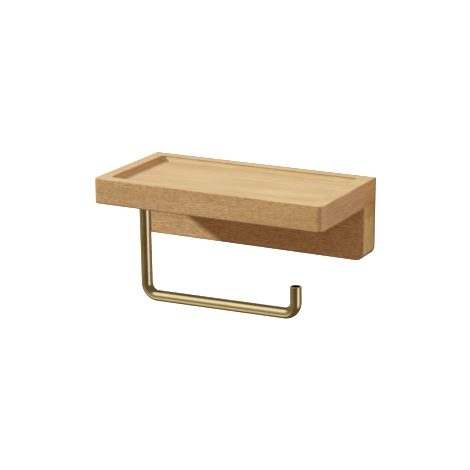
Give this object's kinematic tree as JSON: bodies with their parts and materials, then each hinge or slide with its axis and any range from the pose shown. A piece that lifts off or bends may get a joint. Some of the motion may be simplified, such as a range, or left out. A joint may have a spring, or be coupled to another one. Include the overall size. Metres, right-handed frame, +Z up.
{
  "type": "toilet paper holder",
  "caption": "Wall-mounted wooden tray on a backplate, with a bent brass hook rod below it that holds a toilet roll.",
  "frame": {"origin": "on the wall face of the backplate, midway between the centres of the two round keyhole entries", "axes": "+X along the width to the right seen from the front, +Y from the front into the wall, +Z up"},
  "size_m": [0.19, 0.0995, 0.1033],
  "materials": {
    "wood_tray": "satin oiled beech",
    "wood_backplate": "satin oiled beech",
    "wood_dowel": "plain beech",
    "brass_rod": "satin brushed brass",
    "brass_fixing": "machined brass",
    "zinc_plate": "zinc plated",
    "zinc_screw": "zinc plated"
  },
  "bodies": {
    "holder": {"tray": "wood_tray", "backplate": "wood_backplate", "dowel_left": "wood_dowel", "dowel_middle": "wood_dowel", "dowel_right": "wood_dowel", "threaded_insert": "brass_fixing", "leg_washer": "brass_fixing", "keyhole_plate_left": "zinc_plate", "keyhole_plate_right": "zinc_plate", "plate_screw_left_outer": "zinc_screw", "plate_screw_left_inner": "zinc_screw", "plate_screw_right_inner": "zinc_screw", "plate_screw_right_outer": "zinc_screw"},
    "hook": {"hook_rod": "brass_rod"}
  },
  "joints": [
    {"name": "arm_swivel", "type": "hinge", "parent": "holder", "child": "hook", "pos_m": [-0.072, -0.061, 0.0215], "axis": [0, 0, 1], "range_deg": [-90, 25]}
  ]
}
